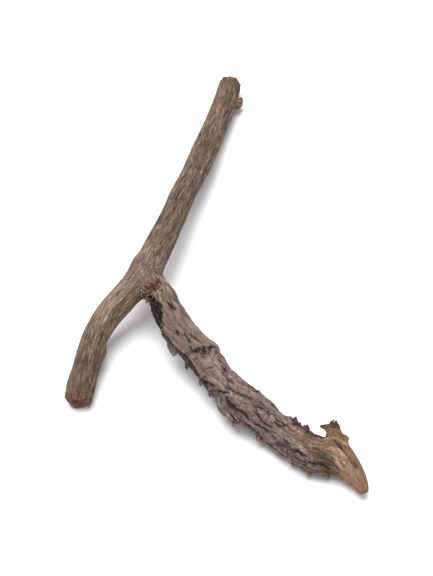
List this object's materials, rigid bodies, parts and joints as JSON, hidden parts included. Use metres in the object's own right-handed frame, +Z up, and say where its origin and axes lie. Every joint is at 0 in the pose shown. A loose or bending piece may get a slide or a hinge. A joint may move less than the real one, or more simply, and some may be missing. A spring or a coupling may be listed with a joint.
{
  "type": "dried madder root",
  "caption": "Forked dried dye root: a slim, finely ridged main root and a thicker side root in cracked bark that ends in a bare wooden wedge.",
  "frame": {"origin": "on the surface that the root lies on, under the middle of its box", "axes": "+Y along the main root towards its upper broken end, +Z up from the surface, +X to the side that the side root runs to"},
  "size_m": [0.0639, 0.1257, 0.013],
  "materials": {
    "bark": "dry, matt, finely ridged and cracked bark, with bare orange-brown wood at the broken ends"
  },
  "bodies": {
    "root": {"madder_root": "bark"}
  },
  "joints": []
}
